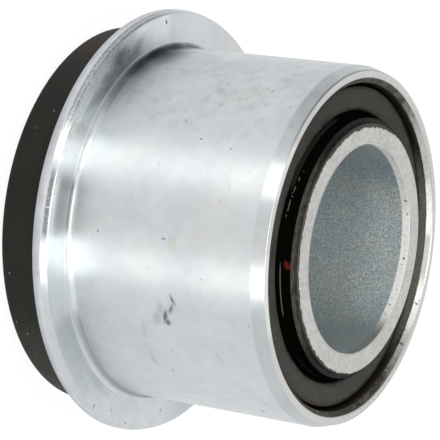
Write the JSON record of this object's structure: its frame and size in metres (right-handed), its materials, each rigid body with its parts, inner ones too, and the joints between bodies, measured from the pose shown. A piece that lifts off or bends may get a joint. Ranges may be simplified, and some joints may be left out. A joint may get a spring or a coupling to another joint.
{
  "type": "rubber metal bush",
  "caption": "Bonded rubber bush: plain inner sleeve, flanged outer sleeve with a lead-in chamfer, and a rubber body with a thick collar behind the flange.",
  "frame": {"origin": "centre of the lowest face, the rear end of the inner sleeve", "axes": "+Z along the bush axis, from the rubber collar towards the open end of the outer sleeve"},
  "size_m": [0.063, 0.063, 0.044],
  "materials": {
    "zinc_tube": "zinc plated tube, drawn grain, turned end faces",
    "zinc_shell": "bright zinc plate, pale blue-grey, light handling marks",
    "rubber": "satin black moulded rubber with thin ragged flash"
  },
  "bodies": {
    "root": {"inner_sleeve": "zinc_tube", "outer_sleeve": "zinc_shell", "rubber_body": "rubber"}
  },
  "joints": []
}
